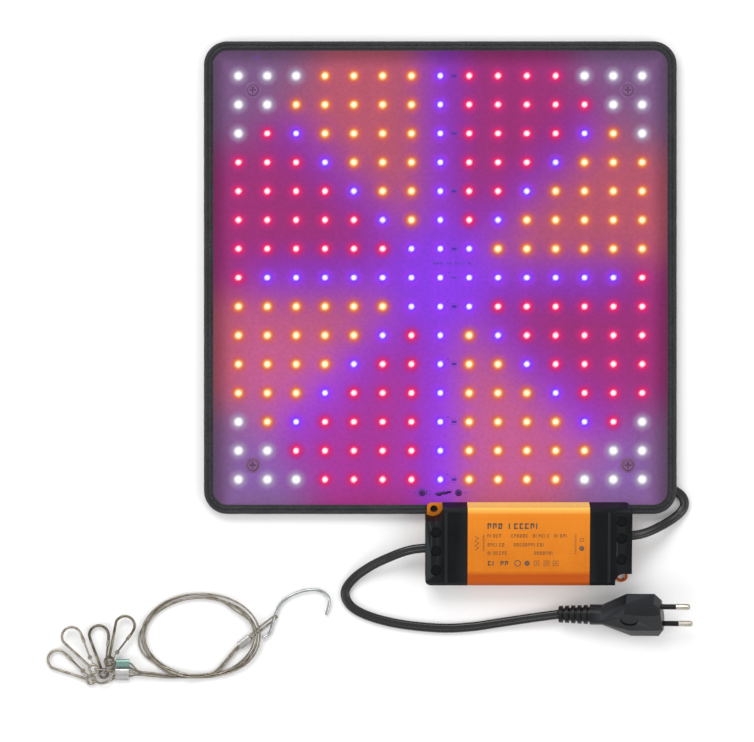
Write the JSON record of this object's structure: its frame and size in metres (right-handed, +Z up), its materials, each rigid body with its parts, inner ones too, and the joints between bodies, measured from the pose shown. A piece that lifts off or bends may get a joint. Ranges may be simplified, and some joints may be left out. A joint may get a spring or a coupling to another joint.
{
  "type": "led grow light",
  "caption": "Square LED grow panel in a black edge trim with a leaning external driver, mains lead and plug, and a coiled wire hanging kit.",
  "frame": {"origin": "middle of the square panel, on the surface it lies on", "axes": "+Z up out of the lit face, +X along the driver towards the plug's pins, +Y away from the driver"},
  "size_m": [0.4235, 0.4225, 0.0347],
  "materials": {
    "trim": "matt, finely textured",
    "aluminium_plate": "brushed",
    "circuit_layer": "white solder mask lit purple by the diodes",
    "diode_white": "lit",
    "diode_orange": "lit",
    "diode_red": "lit",
    "diode_blue": "lit",
    "resistor": "matt",
    "solder": "satin",
    "wire_insulation": "satin",
    "plated_steel": "nickel plated",
    "black_plastic": "fine grain",
    "orange_plastic": "satin",
    "driver_pcb": "solder mask",
    "ferrite": "matt",
    "winding_tape": "polyester tape",
    "capacitor_sleeve": "shrink sleeve",
    "copper": "enamelled wire",
    "heat_sink_metal": "matt",
    "terminal_plastic": "moulded",
    "label_film": "printed film",
    "lead_sheath": "satin",
    "plug_plastic": "satin moulded",
    "pin_metal": "nickel plated",
    "wire_rope": "stranded",
    "ferrule_metal": "crimped",
    "stainless_wire": "drawn wire",
    "gate_wire": "drawn wire"
  },
  "bodies": {
    "lamp": {"edge_trim": "trim", "base_plate": "aluminium_plate", "led_board": "circuit_layer", "leds_white": "diode_white", "leds_orange": "diode_orange", "leds_red": "diode_red", "leds_blue": "diode_blue", "series_resistors": "resistor", "input_pads": "solder", "board_wires": "wire_insulation", "corner_screws": "plated_steel", "corner_washers": "plated_steel", "corner_nuts": "plated_steel", "ring_straps": "plated_steel", "board_screws": "plated_steel", "cable_entry_box": "black_plastic", "end_cap_left": "black_plastic", "end_cap_right": "black_plastic", "cord_clamps": "black_plastic", "driver_base": "orange_plastic", "driver_cover": "orange_plastic", "driver_board": "driver_pcb", "transformer_core": "ferrite", "bridge_rectifier": "ferrite", "transformer_winding": "winding_tape", "mains_capacitor": "capacitor_sleeve", "output_capacitors": "capacitor_sleeve", "filter_choke": "copper", "heat_sink": "heat_sink_metal", "terminal_blocks": "terminal_plastic", "driver_label": "label_film", "mains_cord": "lead_sheath", "panel_cord": "lead_sheath", "plug_body": "plug_plastic", "plug_strain_relief": "plug_plastic", "pin_sleeves": "plug_plastic", "plug_pins": "pin_metal"},
    "kit": {"rope_coil": "wire_rope", "rope_ends": "wire_rope", "hook_ferrules": "ferrule_metal", "top_ferrule": "ferrule_metal"},
    "s_hook": {"s_hook": "stainless_wire"},
    "ring_1": {"hanging_ring_1": "plated_steel"},
    "hook_1": {"hook_body_1": "stainless_wire", "gate_pin_1": "stainless_wire"},
    "gate_1": {"hook_gate_1": "gate_wire"},
    "ring_2": {"hanging_ring_2": "plated_steel"},
    "hook_2": {"hook_body_2": "stainless_wire", "gate_pin_2": "stainless_wire"},
    "gate_2": {"hook_gate_2": "gate_wire"},
    "ring_3": {"hanging_ring_3": "plated_steel"},
    "hook_3": {"hook_body_3": "stainless_wire", "gate_pin_3": "stainless_wire"},
    "gate_3": {"hook_gate_3": "gate_wire"},
    "ring_4": {"hanging_ring_4": "plated_steel"},
    "hook_4": {"hook_body_4": "stainless_wire", "gate_pin_4": "stainless_wire"},
    "gate_4": {"hook_gate_4": "gate_wire"}
  },
  "joints": [
    {"name": "kit_lift", "type": "slide", "parent": "lamp", "child": "kit", "axis": [0, 0, 1], "range_m": [0, 0.1]},
    {"name": "ring_1_fold", "type": "hinge", "parent": "lamp", "child": "ring_1", "pos_m": [-0.11385, 0.12285, 0.0035], "axis": [0, 1, 0], "range_deg": [0, 95]},
    {"name": "ring_2_fold", "type": "hinge", "parent": "lamp", "child": "ring_2", "pos_m": [0.11385, 0.12285, 0.0035], "axis": [0, -1, 0], "range_deg": [0, 95]},
    {"name": "ring_3_fold", "type": "hinge", "parent": "lamp", "child": "ring_3", "pos_m": [-0.11385, -0.12285, 0.0035], "axis": [0, 1, 0], "range_deg": [0, 95]},
    {"name": "ring_4_fold", "type": "hinge", "parent": "lamp", "child": "ring_4", "pos_m": [0.11385, -0.12285, 0.0035], "axis": [0, -1, 0], "range_deg": [0, 95]},
    {"name": "hook_1_swivel", "type": "hinge", "parent": "kit", "child": "hook_1", "pos_m": [-0.2294, -0.2639, 0.0022], "axis": [0, 0, 1], "range_deg": [0, 50]},
    {"name": "hook_2_swivel", "type": "hinge", "parent": "kit", "child": "hook_2", "pos_m": [-0.2276, -0.2566, 0.0055], "axis": [0, 0, 1], "range_deg": [-8, 12]},
    {"name": "hook_3_swivel", "type": "hinge", "parent": "kit", "child": "hook_3", "pos_m": [-0.221, -0.2599, 0.0022], "axis": [0, 0, 1], "range_deg": [-10, 8]},
    {"name": "hook_4_swivel", "type": "hinge", "parent": "kit", "child": "hook_4", "pos_m": [-0.2172, -0.2516, 0.00465], "axis": [0, 0, 1], "range_deg": [-23, 10]},
    {"name": "gate_1_open", "type": "hinge", "parent": "hook_1", "child": "gate_1", "pos_m": [-0.23459, -0.25798, 0.0022], "axis": [0, 0, 1], "range_deg": [0, 25], "stiffness_Nm_per_rad": 0.01, "springref_deg": -11.46},
    {"name": "gate_2_open", "type": "hinge", "parent": "hook_2", "child": "gate_2", "pos_m": [-0.2298, -0.24904, 0.0055], "axis": [0, 0, 1], "range_deg": [0, 25], "stiffness_Nm_per_rad": 0.01, "springref_deg": -11.46},
    {"name": "gate_3_open", "type": "hinge", "parent": "hook_3", "child": "gate_3", "pos_m": [-0.21953, -0.25216, 0.0022], "axis": [0, 0, 1], "range_deg": [0, 25], "stiffness_Nm_per_rad": 0.01, "springref_deg": -11.46},
    {"name": "gate_4_open", "type": "hinge", "parent": "hook_4", "child": "gate_4", "pos_m": [-0.21196, -0.24572, 0.00465], "axis": [0, 0, 1], "range_deg": [0, 25], "stiffness_Nm_per_rad": 0.01, "springref_deg": -11.46},
    {"name": "s_hook_swivel", "type": "hinge", "parent": "kit", "child": "s_hook", "pos_m": [-0.1096, -0.2242, 0.0023], "axis": [0, 0, 1], "range_deg": [0, 35]}
  ]
}
